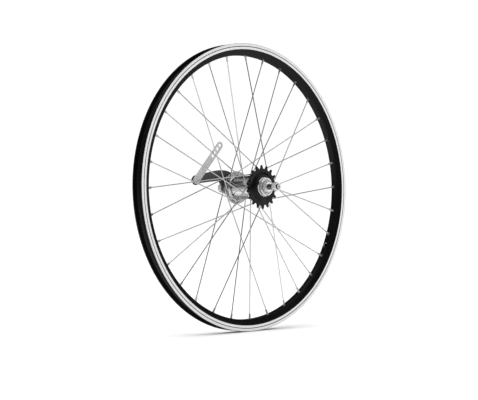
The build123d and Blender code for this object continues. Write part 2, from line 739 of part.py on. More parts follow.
def make_clip_bolt():
    head_end = CLIP_STATION - CLIP_SIDE_GAP
    shank_end = ARM_FACE + BOLT_NUT_HEIGHT + BOLT_SPARE
    head = make_nut(head_end - BOLT_HEAD_HEIGHT, head_end, BOLT_ACROSS_FLATS, 0)
    shank = standing(Circle(BOLT_RADIUS), head_end, shank_end)
    return bolt_place(head + shank)


def make_clip_nut():
    bore = BOLT_RADIUS + THREAD_CLEARANCE
    return bolt_place(make_nut(ARM_FACE, ARM_FACE + BOLT_NUT_HEIGHT, BOLT_ACROSS_FLATS, bore))


def make_arm_clip():
    """The flat strap that ties the arm to the frame, with its row of holes at the free end."""
    outline = Pos(CLIP_REACH / 2, 0) * SlotCenterToCenter(CLIP_REACH, CLIP_WIDTH)
    outline -= Circle(BOLT_RADIUS + CLIP_PIVOT_CLEARANCE)
    for number in range(CLIP_HOLE_COUNT):
        outline -= Pos(CLIP_REACH - CLIP_HOLE_PITCH * number, 0) * Circle(CLIP_HOLE_DIAMETER / 2)
    turned_up = Pos(BOLT_X, BOLT_Z) * Rot(Z=CLIP_ANGLE) * outline
    return standing(turned_up, CLIP_STATION, CLIP_STATION + CLIP_THICKNESS)


os.makedirs("parts", exist_ok=True)

# Wheel
save("rim", make_rim())
save("hub_shell", make_hub_shell())
spokes = [make_spoke(kind) for kind in range(4)]
nipples = [make_nipple(kind) for kind in range(4)]
for index in range(SPOKE_COUNT):
    save(f"spoke_{index + 1:02d}", at_angle(spoke_angle(index), spokes[index % 4]))
save("nipples", *[at_angle(spoke_angle(index), nipples[index % 4]) for index in range(SPOKE_COUNT)])

# Fixed pieces
drive_locknut_end = DRIVE_LOCKNUT_STATION - LOCKNUT_THICKNESS
arm_locknut_end = ARM_FACE + LOCKNUT_THICKNESS
drive_nut_end = DRIVE_NUT_STATION - AXLE_NUT_THICKNESS
brake_nut_end = BRAKE_NUT_STATION + AXLE_NUT_THICKNESS
save("axle", make_axle())
save("brake_cone", make_brake_cone())
save("drive_cone", make_drive_cone())
save("drive_locknut", make_nut(DRIVE_LOCKNUT_STATION, drive_locknut_end, LOCKNUT_ACROSS_FLATS, THREAD_BORE))
save("arm_locknut", make_nut(ARM_FACE, arm_locknut_end, LOCKNUT_ACROSS_FLATS, THREAD_BORE))
save("drive_axle_nut", make_nut(DRIVE_NUT_STATION, drive_nut_end, AXLE_NUT_ACROSS_FLATS, THREAD_BORE))
save("brake_axle_nut", make_nut(BRAKE_NUT_STATION, brake_nut_end, AXLE_NUT_ACROSS_FLATS, THREAD_BORE))
save("brake_arm", make_brake_arm())
save("clip_bolt", make_clip_bolt())
save("clip_nut", make_clip_nut())
cap_start = SHELL_END + CAP_RUNNING_GAP
save("brake_dust_cap", make_cone_cap(cap_start, 1, BRAKE_PITCH_RADIUS + THREAD_CLEARANCE, COLLAR_RADIUS))
save("arm_clip", make_arm_clip())

# Driver
save("driver", make_driver())
save("sprocket", make_sprocket())
save("snap_ring", make_snap_ring())
save("shell_dust_cap", make_cone_cap(-cap_start, -1, SHELL_PITCH_RADIUS + THREAD_CLEARANCE, COLLAR_RADIUS))
save("driver_dust_cap", make_driver_cap())

# Bearings, clutch and brake
save("brake_ball_retainer", *make_retainer(
    BRAKE_BEARING_STATION, 1, BRAKE_BALL_RADIUS, BRAKE_PITCH_RADIUS, BRAKE_BALL_COUNT))
save("shell_ball_retainer", *make_retainer(
    SHELL_BEARING_STATION, -1, SHELL_BALL_RADIUS, SHELL_PITCH_RADIUS, SHELL_BALL_COUNT))
save("driver_ball_retainer", *make_retainer(
    DRIVER_BEARING_STATION, -1, DRIVER_BALL_RADIUS, DRIVER_PITCH_RADIUS, DRIVER_BALL_COUNT))
save("clutch_cone", make_clutch_cone())
save("clutch_spring", make_clutch_spring())
save("upper_brake_shoe", make_shoe(1))
save("lower_brake_shoe", make_shoe(-1))
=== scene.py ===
import math

import bmesh
import bpy
from mathutils import Matrix, Vector
from mathutils.geometry import delaunay_2d_cdt


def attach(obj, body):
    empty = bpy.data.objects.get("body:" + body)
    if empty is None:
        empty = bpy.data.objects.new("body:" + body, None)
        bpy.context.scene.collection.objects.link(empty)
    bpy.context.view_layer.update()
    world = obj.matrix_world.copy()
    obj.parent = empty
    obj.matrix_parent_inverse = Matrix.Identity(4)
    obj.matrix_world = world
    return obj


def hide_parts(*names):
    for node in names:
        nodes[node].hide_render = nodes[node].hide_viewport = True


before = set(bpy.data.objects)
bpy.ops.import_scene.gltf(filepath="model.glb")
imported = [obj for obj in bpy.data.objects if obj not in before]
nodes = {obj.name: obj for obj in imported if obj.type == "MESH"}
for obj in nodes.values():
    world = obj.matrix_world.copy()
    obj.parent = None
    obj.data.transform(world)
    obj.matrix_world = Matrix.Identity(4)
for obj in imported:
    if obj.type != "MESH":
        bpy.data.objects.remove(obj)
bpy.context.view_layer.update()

# Sizes repeated from the solid model, in millimetres. Only the brake track's inner edge lies further out than
# the solid's, where the photograph shows it.
RIM_RADIUS = 260.0
BED_RADIUS = 239.0
RIM_WALL = 1.3
BEAD_SEAT_RADIUS = 253.5
WELL_RADIUS = 250.9
TRACK_RADIUS = 249.3
GROOVE_RADIUS = 254.3
VALVE_HOLE_RADIUS = 4.25
ACCESS_HOLE_RADIUS = 3.9
NIPPLE_HOLE_RADIUS = 2.43
SPOKE_COUNT = 32
SPOKE_STEP = 360.0 / SPOKE_COUNT
FIRST_SPOKE_ANGLE = 102.64
VALVE_SPOKE = 11.5
SPOKE_RADIUS = 1.0
SPOKE_HEAD_RADIUS = 1.9
SPOKE_HEAD_THICKNESS = 0.8
CROSS_ANGLE = math.radians(67.5)
PITCH_RADIUS = 26.0
FLANGE_Y = 28.0
FLANGE_HALF = 1.5
FLANGE_RADIUS = 30.0
COLLAR_RADIUS = 23.36
BARREL_RADIUS = 21.0
SHELL_END = 33.0
AXLE_RADIUS = 5.0
AXLE_ENDS = (-78.9, 73.0)


# Mesh helpers: a skin is a list of points in millimetres, a list of faces and a list of the faces' slots

MM = 0.001
WELD_GAP = 2e-6
CORNER_SHARE = 0.45
SMALLEST_CUT = 1e-4
TRIANGLE_GAP = 1e-7


def weld(mesh):
    work = bmesh.new()
    work.from_mesh(mesh)
    bmesh.ops.remove_doubles(work, verts=work.verts, dist=WELD_GAP)
    bmesh.ops.recalc_face_normals(work, faces=work.faces)
    work.to_mesh(mesh)
    work.free()
    mesh.update()


def add_mesh(name, skin, materials, sharp):
    """An object with a skin as its mesh, shaded smooth up to an angle between its faces."""
    verts, faces, slots = skin
    mesh = bpy.data.meshes.new(name)
    mesh.from_pydata([Vector(v) * MM for v in verts], [], faces)
    for material in materials:
        mesh.materials.append(material)
    mesh.polygons.foreach_set("material_index", slots)
    mesh.polygons.foreach_set("use_smooth", [True] * len(mesh.polygons))
    piece = bpy.data.objects.new(name, mesh)
    bpy.context.scene.collection.objects.link(piece)
    weld(mesh)
    mesh.set_sharp_from_angle(angle=math.radians(sharp))
    return piece


def stand_for(piece, node, body):
    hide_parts(node)
    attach(piece, body)


def full_turn(count):
    return [2 * math.pi * i / count for i in range(count)]


def polar(radius, angle, y):
    return (radius * math.cos(angle), y, radius * math.sin(angle))


def circle(radius, count, centre=(0.0, 0.0)):
    x, z = centre
    return [(x + radius * math.cos(turn), z + radius * math.sin(turn)) for turn in full_turn(count)]


def arc(start, corner, end, steps):
    """Points on a smooth curve between two lines that meet at a corner."""
    shares = [step / steps for step in range(steps + 1)]
    return [(1 - t) ** 2 * start + 2 * t * (1 - t) * corner + t**2 * end for t in shares]


def rounded(points, steps=4):
    """An open outline whose corners (x, y, radius) are turned into short arcs."""
    out = [points[0][:2]]
    for before, corner, after in zip(points, points[1:], points[2:]):
        centre = Vector(corner[:2])
        back = Vector(before[:2]) - centre
        ahead = Vector(after[:2]) - centre
        turn = math.pi - back.angle(ahead)
        cut = min(corner[2] * math.tan(turn / 2), CORNER_SHARE * back.length, CORNER_SHARE * ahead.length)
        if cut < SMALLEST_CUT:
            out.append(corner[:2])
            continue
        start = centre + back.normalized() * cut
        end = centre + ahead.normalized() * cut
        out += [tuple(point) for point in arc(start, centre, end, steps)]
    out.append(points[-1][:2])
    return out


def bridge(here, there, count):
    """Faces between two rings of points, given the number of each ring's first point."""
    return [(here + i, here + (i + 1) % count, there + (i + 1) % count, there + i) for i in range(count)]


def lathe(outline, segments, start=0.0, slot_of=lambda edge: 0):
    """The skin of an open outline of (y, radius) points turned about the axle."""
    verts, faces, slots = [], [], []
    count = len(outline)
    for turn in full_turn(segments):
        verts += [polar(radius, start + turn, y) for y, radius in outline]
    for ring in range(segments):
        faces += bridge(ring * count, (ring + 1) % segments * count, count)[:-1]
        slots += [slot_of(edge) for edge in range(count - 1)]
    return verts, faces, slots


def loop_wall(low, low_y, high, high_y):
    """A wall between two matching loops drawn in X and Z."""
    count = len(low)
    verts = [(x, low_y, z) for x, z in low] + [(x, high_y, z) for x, z in high]
    return verts, bridge(0, count, count), [0] * count


def tube(rings):
    """A closed skin over rings of points."""
    count = len(rings[0])
    verts = [point for ring in rings for point in ring]
    faces = []
    for number in range(len(rings) - 1):
        faces += bridge(number * count, (number + 1) * count, count)
    faces.append(tuple(range(count)))
    faces.append(tuple(reversed(range(len(verts) - count, len(verts)))))
    return verts, faces, [0] * len(faces)


def join(*skins):
    """One skin from several."""
    verts, faces, slots = [], [], []
    for part_verts, part_faces, part_slots in skins:
        base = len(verts)
        verts += part_verts
        faces += [tuple(base + v for v in face) for face in part_faces]
        slots += part_slots
    return verts, faces, slots


def encloses(loop, point):
    """Whether a loop of (x, z) points goes round a point."""
    crossings = 0
    for (x0, z0), (x1, z1) in zip(loop, loop[1:] + loop[:1]):
        if (z0 > point.y) != (z1 > point.y):
            crossings += point.x < x0 + (point.y - z0) * (x1 - x0) / (z1 - z0)
    return crossings % 2 == 1


def flat_with_holes(loops, y, slot):
    """A flat face at one station along Y: the first loop is its outer edge, the others its holes."""
    points, edges = [], []
    for loop in loops:
        base = len(points)
        points += [Vector(p) for p in loop]
        edges += [(base + i, base + (i + 1) % len(loop)) for i in range(len(loop))]
    inside_outline = 1
    places, _, triangles = delaunay_2d_cdt(points, edges, [], inside_outline, TRIANGLE_GAP)[:3]
    faces = []
    for face in triangles:
        middle = sum((places[corner] for corner in face), Vector((0, 0))) / len(face)
        if not any(encloses(hole, middle) for hole in loops[1:]):
            faces.append(tuple(face))
    return [(place.x, y, place.y) for place in places], faces, [slot] * len(faces)


# Materials, with lengths in metres

NOISE_RANGE = (0.3, 0.7)
FINE_RELIEF = 0.00001
TURNED_RELIEF = 0.00002
TRACK_RELIEF = 0.00003
SOFT_EDGE = 0.0004
SMALLEST_RADIUS = 1e-5
EDGE_SAMPLES = 6
FINE_GRAIN = 9.0
WIDE_SPECK = 0.06
COOL_BLUE = 1.01


class Look:
    """A principled material with a few shorthand calls for its nodes."""

    def __init__(self, name, **values):
        self.material = bpy.data.materials.new(name)
        self.material.use_nodes = True
        self.nodes = self.material.node_tree.nodes
        self.links = self.material.node_tree.links
        self.shader = self.nodes["Principled BSDF"]
        for socket, value in values.items():
            self.shader.inputs[socket.replace("_", " ")].default_value = value

    def node(self, kind, inputs=None, **settings):
        made = self.nodes.new("ShaderNode" + kind)
        for key, value in settings.items():
            setattr(made, key, value)
        for key, value in (inputs or {}).items():
            if isinstance(value, bpy.types.NodeSocket):
                self.links.new(value, made.inputs[key])
            else:
                made.inputs[key].default_value = value
        return made

    def maths(self, operation, a, b=0.0):
        return self.node("Math", {0: a, 1: b}, operation=operation).outputs[0]

    def mixed(self, first, second, share):
        """A sum of two values, the first with this share."""
        scaled = self.maths("MULTIPLY", first, share)
        return self.maths("ADD", scaled, self.maths("MULTIPLY", second, 1 - share))

    def place(self):
        return self.node("TexCoord").outputs["Object"]

    def wheel_place(self, along, across):
        """Coordinates that run slowly round the wheel and quickly outwards, and one along the axle."""
        x, y, z = self.node("SeparateXYZ", {0: self.place()}).outputs
        squares = self.maths("ADD", self.maths("MULTIPLY", x, x), self.maths("MULTIPLY", z, z))
        radius = self.maths("MAXIMUM", self.maths("SQRT", squares), SMALLEST_RADIUS)
        cos = self.maths("MULTIPLY", self.maths("DIVIDE", x, radius), along)
        sin = self.maths("MULTIPLY", self.maths("DIVIDE", z, radius), along)
        outwards = self.maths("MULTIPLY", radius, across)
        vector = self.node("CombineXYZ", {0: cos, 1: sin, 2: outwards}).outputs[0]
        return vector, self.maths("MULTIPLY", y, across)

    def noise(self, vector, scale, detail=3.0, rough=0.55, w=None):
        inputs = {"Vector": vector, "Scale": scale, "Detail": detail, "Roughness": rough}
        if w is not None:
            inputs["W"] = w
        made = self.node("TexNoise", inputs, noise_dimensions="3D" if w is None else "4D")
        return made.outputs["Fac"]

    def spread(self, noise, low, high):
        """A noise's values spread over a range."""
        from_low, from_high = NOISE_RANGE
        inputs = {"Value": noise, "From Min": from_low, "From Max": from_high, "To Min": low, "To Max": high}
        return self.node("MapRange", inputs).outputs["Result"]

    def ramp(self, noise, dark, light):
        """A noise's values spread between two colours."""
        made = self.node("ValToRGB", {"Fac": noise})
        for stop, position, colour in zip(made.color_ramp.elements, NOISE_RANGE, (dark, light)):
            stop.position, stop.color = position, (*colour, 1)
        return made.outputs["Color"]

    def set(self, socket, value):
        self.links.new(value, self.shader.inputs[socket])

    def brush_round_axle(self):
        """Gloss that is drawn out round the axle, as on turned metal."""
        self.set("Tangent", self.node("Tangent", direction_type="RADIAL", axis="Y").outputs[0])

    def bump(self, height, distance, strength, edge=0.0):
        """Fine relief, over edges that look rounded by a radius."""
        inputs = {"Height": height, "Distance": distance, "Strength": strength}
        if edge:
            inputs["Normal"] = self.node("Bevel", {"Radius": edge}, samples=EDGE_SAMPLES).outputs["Normal"]
        self.set("Normal", self.node("Bump", inputs).outputs["Normal"])


def grey(value):
    return (value, value, value * COOL_BLUE)


def make_anodised(name, gloss):
    """Black anodised aluminium with faint streaks round the wheel."""
    look = Look(name, Metallic=0.0, IOR=1.5, Specular_IOR_Level=gloss)
    around, across = look.wheel_place(along=2.0, across=900.0)
    streaks = look.noise(around, 1.0, detail=2.0, rough=0.6, w=across)
    dust = look.noise(look.place(), 420.0, detail=4.0)
    look.set("Base Color", look.ramp(streaks, grey(0.001), grey(0.004)))
    look.set("Roughness", look.spread(look.mixed(streaks, dust, share=0.6), low=0.22, high=0.4))
    look.bump(streaks, TURNED_RELIEF, strength=0.4)
    return look.material


def make_track():
    """Bare aluminium with the fine grooves of the tool that cut the brake track."""
    look = Look("machined_track", Metallic=0.5, Anisotropic=0.55)
    around, _ = look.wheel_place(along=0.6, across=2600.0)
    lines = look.noise(around, 1.0, detail=3.0, rough=0.7)
    wide = look.noise(around, 0.25, detail=2.0, rough=0.5)
    look.set("Base Color", look.ramp(look.mixed(lines, wide, share=0.6), grey(0.7), grey(0.88)))
    look.set("Roughness", look.spread(lines, low=0.26, high=0.42))
    look.brush_round_axle()
    look.bump(lines, TRACK_RELIEF, strength=0.35)
    return look.material


def make_metal(name, dark, light, rough, grain, relief=FINE_RELIEF, edge=0.0, metallic=1.0):
    """Bare or plated metal with a cloudy tone, a grain and a slight unevenness."""
    look = Look(name, Metallic=metallic)
    clouds = look.noise(look.place(), grain, detail=4.0)
    fine = look.noise(look.place(), grain * FINE_GRAIN, detail=3.0)
    look.set("Base Color", look.ramp(clouds, dark, light))
    look.set("Roughness", look.spread(fine, *rough))
    look.bump(fine, relief, strength=0.5, edge=edge)
    return look.material


def make_turned(name, dark, light, rough, rings, metallic=1.0):
    """Turned metal: fine rings about the axle."""
    look = Look(name, Metallic=metallic, Anisotropic=0.4)
    around, along = look.wheel_place(along=0.8, across=rings)
    lines = look.noise(around, 1.0, detail=3.0, rough=0.65, w=along)
    look.set("Base Color", look.ramp(lines, dark, light))
    look.set("Roughness", look.spread(lines, *rough))
    look.brush_round_axle()
    look.bump(lines, TURNED_RELIEF, strength=0.3, edge=SOFT_EDGE)
    return look.material


def make_coated(name, dark, light, rough, speck, gloss):
    """Coated or blackened steel: a dark skin with fine specks."""
    look = Look(name, Metallic=0.0, IOR=1.5, Specular_IOR_Level=gloss)
    specks = look.noise(look.place(), speck, detail=5.0, rough=0.65)
    wide = look.noise(look.place(), speck * WIDE_SPECK, detail=3.0)
    look.set("Base Color", look.ramp(look.mixed(specks, wide, share=0.5), dark, light))
    look.set("Roughness", look.spread(specks, *rough))
    look.bump(specks, FINE_RELIEF, strength=0.5, edge=SOFT_EDGE)
    return look.material


ANODISED = make_anodised("black_anodised", gloss=0.48)
BED_ANODISED = make_anodised("bed_anodised", gloss=0.2)
TRACK = make_track()
CHROME = make_metal("chrome_plate", grey(0.78), grey(0.86), rough=(0.05, 0.11), grain=60.0, relief=0.000004)
# Chrome painted darker for the flanges' flat faces: painted shade that stands in for the dark reflections
# these faces show.
FLANGE_CHROME_PAINTED_SHADE = make_metal("flange_chrome_painted_shade", grey(0.2), grey(0.42), rough=(0.08, 0.18), grain=160.0)
WIRE = make_metal("spoke_wire", grey(0.78), grey(0.9), rough=(0.12, 0.2), grain=180.0)
NICKEL = make_metal("nipple_nickel", grey(0.66), grey(0.8), rough=(0.18, 0.3), grain=300.0)
BLACKENED = make_coated("black_oxide", grey(0.001), grey(0.003), rough=(0.22, 0.32), speck=900.0, gloss=0.24)
ARM_COAT = make_coated("arm_coat", grey(0.04), grey(0.065), rough=(0.3, 0.45), speck=700.0, gloss=0.5)
ZINC = make_metal(
    "strap_zinc", grey(0.58), grey(0.66), rough=(0.38, 0.46), grain=40.0, relief=0.000005, edge=SOFT_EDGE,
    metallic=0.4)
NUT_ZINC = make_metal("nut_zinc", grey(0.82), grey(0.92), rough=(0.14, 0.24), grain=200.0, metallic=0.7)
RING_ZINC = make_metal(
    "ring_zinc", grey(0.86), grey(0.95), rough=(0.2, 0.3), grain=200.0, edge=SOFT_EDGE, metallic=0.45)
TURNED = make_turned("turned_steel", grey(0.62), grey(0.86), rough=(0.16, 0.28), rings=900.0, metallic=0.7)
CAP_STEEL = make_turned("pressed_steel", grey(0.36), grey(0.5), rough=(0.2, 0.34), rings=900.0)
AXLE_STEEL = make_metal("axle_steel", grey(0.1), grey(0.18), rough=(0.2, 0.34), grain=250.0)
CUT_STEEL = make_turned("cut_steel", grey(0.6), grey(0.78), rough=(0.2, 0.34), rings=2400.0)
BEARING = make_metal("bearing_steel", grey(0.45), grey(0.55), rough=(0.15, 0.25), grain=300.0)
GREASED = make_metal(
    "greased_steel", (0.3, 0.28, 0.24), (0.4, 0.37, 0.31), rough=(0.25, 0.45), grain=120.0)

# The solids' own materials. All nodes that aren't named here are spokes.
NODE_LOOKS = {
    "rim": ANODISED,
    "hub_shell": CHROME,
    "nipples": NICKEL,
    "sprocket": BLACKENED,
    "snap_ring": RING_ZINC,
    "driver": TURNED,
    "drive_cone": TURNED,
    "brake_cone": TURNED,
    "axle": AXLE_STEEL,
    "drive_locknut": NUT_ZINC,
    "arm_locknut": NUT_ZINC,
    "drive_axle_nut": NUT_ZINC,
    "brake_axle_nut": NUT_ZINC,
    "clip_nut": NUT_ZINC,
    "clip_bolt": NUT_ZINC,
    "brake_arm": ARM_COAT,
    "arm_clip": ZINC,
    "brake_dust_cap": CHROME,
    "shell_dust_cap": CHROME,
    "driver_dust_cap": CAP_STEEL,
    "brake_ball_retainer": BEARING,
    "shell_ball_retainer": BEARING,
    "driver_ball_retainer": BEARING,
    "clutch_cone": GREASED,
    "clutch_spring": BEARING,
    "upper_brake_shoe": GREASED,
    "lower_brake_shoe": GREASED,
}
for name, node in nodes.items():
    node.data.materials.clear()
    node.data.materials.append(NODE_LOOKS.get(name, WIRE))


# Rim

RIM_SEGMENTS = SPOKE_COUNT * 12
RIM_START = math.radians(FIRST_SPOKE_ANGLE)
RIM_CREASE = 32.0
WINDOW = 2
COLUMNS = 4
GROOVE_HALF = 0.7
# Half of the rim's section, from the bed over the brake track and the hook to the well: Y, radius, rounding
RIM_SECTION = [
    (0.0, BED_RADIUS),
    (6.5, BED_RADIUS, 1.6),
    (11.7, TRACK_RADIUS, 0.6),
    (11.92, GROOVE_RADIUS - GROOVE_HALF, 0.15),
    (11.45, GROOVE_RADIUS, 0.2),
    (11.98, GROOVE_RADIUS + GROOVE_HALF, 0.15),
    (12.2, RIM_RADIUS, 0.7),
    (9.5, RIM_RADIUS, 0.9),
    (9.5, RIM_RADIUS - 2.4, 0.7),
    (10.6, BEAD_SEAT_RADIUS, 0.8),
    (7.0, BEAD_SEAT_RADIUS, 0.8),
    (5.5, WELL_RADIUS, 0.9),
    (0.0, WELL_RADIUS),
]
# Half widths of the hollow between bed and well, at its floor and its roof
CHAMBER_FLOOR, CHAMBER_ROOF = 5.73, 10.76
BED_HOLE_BEVEL = 0.25
WELL_HOLE_BEVEL = 0.2
# What counts as the bare track: its inner and outer radius, and its least Y
TRACK_LOW, TRACK_HIGH = TRACK_RADIUS + 0.15, RIM_RADIUS - 0.5
TRACK_Y = 11.5
GROOVE_EDGE = 0.1
COATED_SLOT, BARE_SLOT, BED_SLOT = 0, 1, 2


def window_loop(reach, columns):
    """The edge of the opening that a strip leaves for a hole, as (s, y) points on the strip's own grid."""
    first_side = [(reach * (i / WINDOW - 1), columns[0]) for i in range(2 * WINDOW)]
    loop = first_side + [(reach, y) for y in columns[:-1]]
    loop += [(-s, columns[-1]) for s, _ in first_side]
    return loop + [(-reach, -y) for y in columns[:-1]]


def pierced_strip(radius, half, holes, slot=COATED_SLOT, edge=0.0, edge_slot=COATED_SLOT, depth=0.0):
    """A band round the wheel with round holes: holes maps a segment number to a hole's radius. A hole gets a
    bevel and a wall that goes on by depth, which is negative towards the axle."""
    verts, faces, slots = [], [], []
    step = 2 * math.pi / RIM_SEGMENTS
    columns = [half * (2 * c / COLUMNS - 1) for c in range(COLUMNS + 1)]
    width = len(columns)
    taken = {(seg + off) % RIM_SEGMENTS for seg in holes for off in range(-WINDOW, WINDOW)}
    for seg in range(RIM_SEGMENTS):
        verts += [polar(radius, RIM_START + seg * step, y) for y in columns]
    for seg in range(RIM_SEGMENTS):
        if seg not in taken:
            faces += bridge(seg * width, (seg + 1) % RIM_SEGMENTS * width, width)[:-1]
            slots += [slot] * COLUMNS
    window = window_loop(WINDOW * step * radius, columns)
    # The same turns at every radius, so that a hole's wall meets the strip on its far side
    turns = [math.atan2(y, s * BED_RADIUS / radius) for s, y in window]
    count = len(window)
    for seg, hole in holes.items():
        centre = RIM_START + seg * step
        outer = [((hole + edge) * math.cos(turn), (hole + edge) * math.sin(turn)) for turn in turns]
        inner = [(hole * math.cos(turn), hole * math.sin(turn)) for turn in turns]
        middle = [((s + s1) / 2, (y + y1) / 2) for (s, y), (s1, y1) in zip(window, outer)]
        rings = [
            (radius, window, slot),
            (radius, middle, slot),
            (radius, outer, slot),
            (radius + math.copysign(edge, depth), inner, edge_slot),
            (radius + depth, inner, edge_slot),
        ]
        base = len(verts)
        for level, loop, _ in rings:
            verts += [polar(level, centre + s / level, y) for s, y in loop]
        for number, (_, _, ring_slot) in enumerate(rings[1:]):
            faces += bridge(base + number * count, base + (number + 1) * count, count)
            slots += [ring_slot] * count
    return verts, faces, slots


def make_rim():
    half = rounded(RIM_SECTION)[1:-1]
    bed_half = half[0][0]
    well_half = half[-1][0]

    def slot_of(edge):
        (y0, r0), (y1, r1) = half[edge], half[edge + 1]
        y, radius = (y0 + y1) / 2, (r0 + r1) / 2
        if radius < TRACK_RADIUS:
            return BED_SLOT
        on_track = TRACK_LOW < radius < TRACK_HIGH and y > TRACK_Y
        in_groove = abs(radius - GROOVE_RADIUS) < GROOVE_HALF - GROOVE_EDGE
        return BARE_SLOT if on_track and not in_groove else COATED_SLOT

    right = lathe(half, RIM_SEGMENTS, RIM_START, slot_of)
    left = lathe([(-y, r) for y, r in half], RIM_SEGMENTS, RIM_START, slot_of)
    per_spoke = RIM_SEGMENTS // SPOKE_COUNT
    spoke_segments = [-index * per_spoke % RIM_SEGMENTS for index in range(SPOKE_COUNT)]
    valve = int(-VALVE_SPOKE * per_spoke) % RIM_SEGMENTS
    nipple_holes = {seg: NIPPLE_HOLE_RADIUS for seg in spoke_segments} | {valve: VALVE_HOLE_RADIUS}
    access_holes = {seg: ACCESS_HOLE_RADIUS for seg in spoke_segments} | {valve: VALVE_HOLE_RADIUS}
    bed = pierced_strip(
        BED_RADIUS, bed_half, nipple_holes, BED_SLOT, BED_HOLE_BEVEL, BARE_SLOT, depth=RIM_WALL)
    well = pierced_strip(WELL_RADIUS, well_half, access_holes, edge=WELL_HOLE_BEVEL, depth=-RIM_WALL)
    low, high = BED_RADIUS + RIM_WALL, WELL_RADIUS - RIM_WALL
    floor = pierced_strip(low, bed_half, nipple_holes)
    roof = pierced_strip(high, well_half, access_holes)
    chamber = [(bed_half, low), (CHAMBER_FLOOR, low), (CHAMBER_ROOF, high), (well_half, high)]
    sides = [lathe([(side * y, r) for y, r in chamber], RIM_SEGMENTS, RIM_START) for side in (-1, 1)]
    skin = join(right, left, bed, well, floor, roof, *sides)
    piece = add_mesh("rim_extrusion", skin, [ANODISED, TRACK, BED_ANODISED], RIM_CREASE)
    stand_for(piece, "rim", "wheel")


make_rim()


# Spokes and nipples

KINDS = 4
FLANGE_LEAN = 1.43
SEAT_GAP = 0.05
WIRE_SIDES = 14
WIRE_CREASE = 50.0
# A spoke's head from its crown to the wire: depth and radius
HEAD_PROFILE = [
    (0.0, 0.9),
    (0.1, 1.5),
    (0.35, SPOKE_HEAD_RADIUS),
    (SPOKE_HEAD_THICKNESS, SPOKE_HEAD_RADIUS),
    (SPOKE_HEAD_THICKNESS + 0.12, SPOKE_RADIUS + 0.15),
]
BEND_RADIUS = 2.4
BEND_SHARE = 0.6
BEND_STEPS = 8
STRAIGHT_SHARES = (0.25, 0.5, 0.75, 1.0)
NIPPLE_REACH = 9.4
NIPPLE_FLAT = 1.65
NIPPLE_RADIUS = 2.0
NIPPLE_HEAD_RADIUS = 3.0
NIPPLE_SIDES = 24
NIPPLE_CREASE = 40.0
ROUND, SQUARE, BLENDED = math.inf, 0.0, 0.2
# A nipple from its mouth over its square shank and round neck to its head inside the rim: the place along the
# spoke from the rim's bed, the largest radius, and how far its sides lie outside the square
NIPPLE_STATIONS = [
    (-NIPPLE_REACH, 1.12, ROUND),
    (-NIPPLE_REACH, 1.4, ROUND),
    (-NIPPLE_REACH + 0.35, NIPPLE_FLAT, SQUARE),
    (-NIPPLE_REACH + 0.6, NIPPLE_RADIUS, SQUARE),
    (-2.6, NIPPLE_RADIUS, SQUARE),
    (-2.2, NIPPLE_RADIUS, BLENDED),
    (-1.9, NIPPLE_RADIUS, ROUND),
    (2.0, NIPPLE_RADIUS, ROUND),
    (2.2, NIPPLE_HEAD_RADIUS, ROUND),
    (3.4, NIPPLE_HEAD_RADIUS, ROUND),
    (4.0, 2.4, ROUND),
]


def spoke_angle(index):
    return math.radians(FIRST_SPOKE_ANGLE - SPOKE_STEP * index)


def turned_to(index):
    """The turn about the axle that carries a piece from the top of the wheel to a spoke's angle."""
    return Matrix.Rotation(math.pi / 2 - spoke_angle(index), 4, "Y")


def spoke_ends(kind):
    """A spoke's head, the corner of its bend and its seat in the rim, for a spoke that ends at the top."""
    side = 1 if kind % 2 == 0 else -1
    sense = -1 if kind < 2 else 1
    outward = side if sense < 0 else -side
    x = -sense * PITCH_RADIUS * math.sin(CROSS_ANGLE)
    z = PITCH_RADIUS * math.cos(CROSS_ANGLE)
    face = FLANGE_HALF + SEAT_GAP
    stand = face + SPOKE_RADIUS + (FLANGE_LEAN if sense < 0 else 0.0)
    head = Vector((x, side * FLANGE_Y - outward * (face + SPOKE_HEAD_THICKNESS), z))
    elbow = Vector((x, side * FLANGE_Y + outward * stand, z))
    return head, elbow, Vector((0, 0, BED_RADIUS))


def carried_rings(path, radii, sides):
    """Rings along a path without twist between them."""
    rings = []
    side = None
    for number, (point, radius) in enumerate(zip(path, radii)):
        before = path[max(number - 1, 0)]
        after = path[min(number + 1, len(path) - 1)]
        along = (after - before).normalized()
        side = along.orthogonal() if side is None else side - along * side.dot(along)
        side.normalize()
        up = along.cross(side)
        rings.append([
            tuple(point + radius * (side * math.cos(turn) + up * math.sin(turn))) for turn in full_turn(sides)
        ])
    return rings


def spoke_mesh(kind):
    head, elbow, seat = spoke_ends(kind)
    inward = (elbow - head).normalized()
    direction = (seat - elbow).normalized()
    end = seat + direction * RIM_WALL
    turn = inward.angle(direction)
    cut = min(BEND_RADIUS * math.tan(turn / 2), BEND_SHARE * (elbow - head).length)
    stop = elbow + direction * cut
    path = [head + inward * depth for depth, _ in HEAD_PROFILE]
    radii = [radius for _, radius in HEAD_PROFILE]
    path += arc(elbow - inward * cut, elbow, stop, BEND_STEPS)
    path += [stop.lerp(end, share) for share in STRAIGHT_SHARES]
    radii += [SPOKE_RADIUS] * (len(path) - len(radii))
    return tube(carried_rings(path, radii, WIRE_SIDES))


def nipple_mesh(kind):
    _, elbow, seat = spoke_ends(kind)
    direction = (seat - elbow).normalized()
    aim = direction.to_track_quat("Z", "X").to_matrix()
    rings = []
    for along, limit, outside in NIPPLE_STATIONS:
        centre = seat + direction * along
        ring = []
        for turn in full_turn(NIPPLE_SIDES):
            flat = NIPPLE_FLAT / max(abs(math.cos(turn)), abs(math.sin(turn)))
            reach = min(flat + outside, limit)
            ring.append(tuple(centre + aim @ Vector((reach * math.cos(turn), reach * math.sin(turn), 0))))
        rings.append(ring)
    return tube(rings)


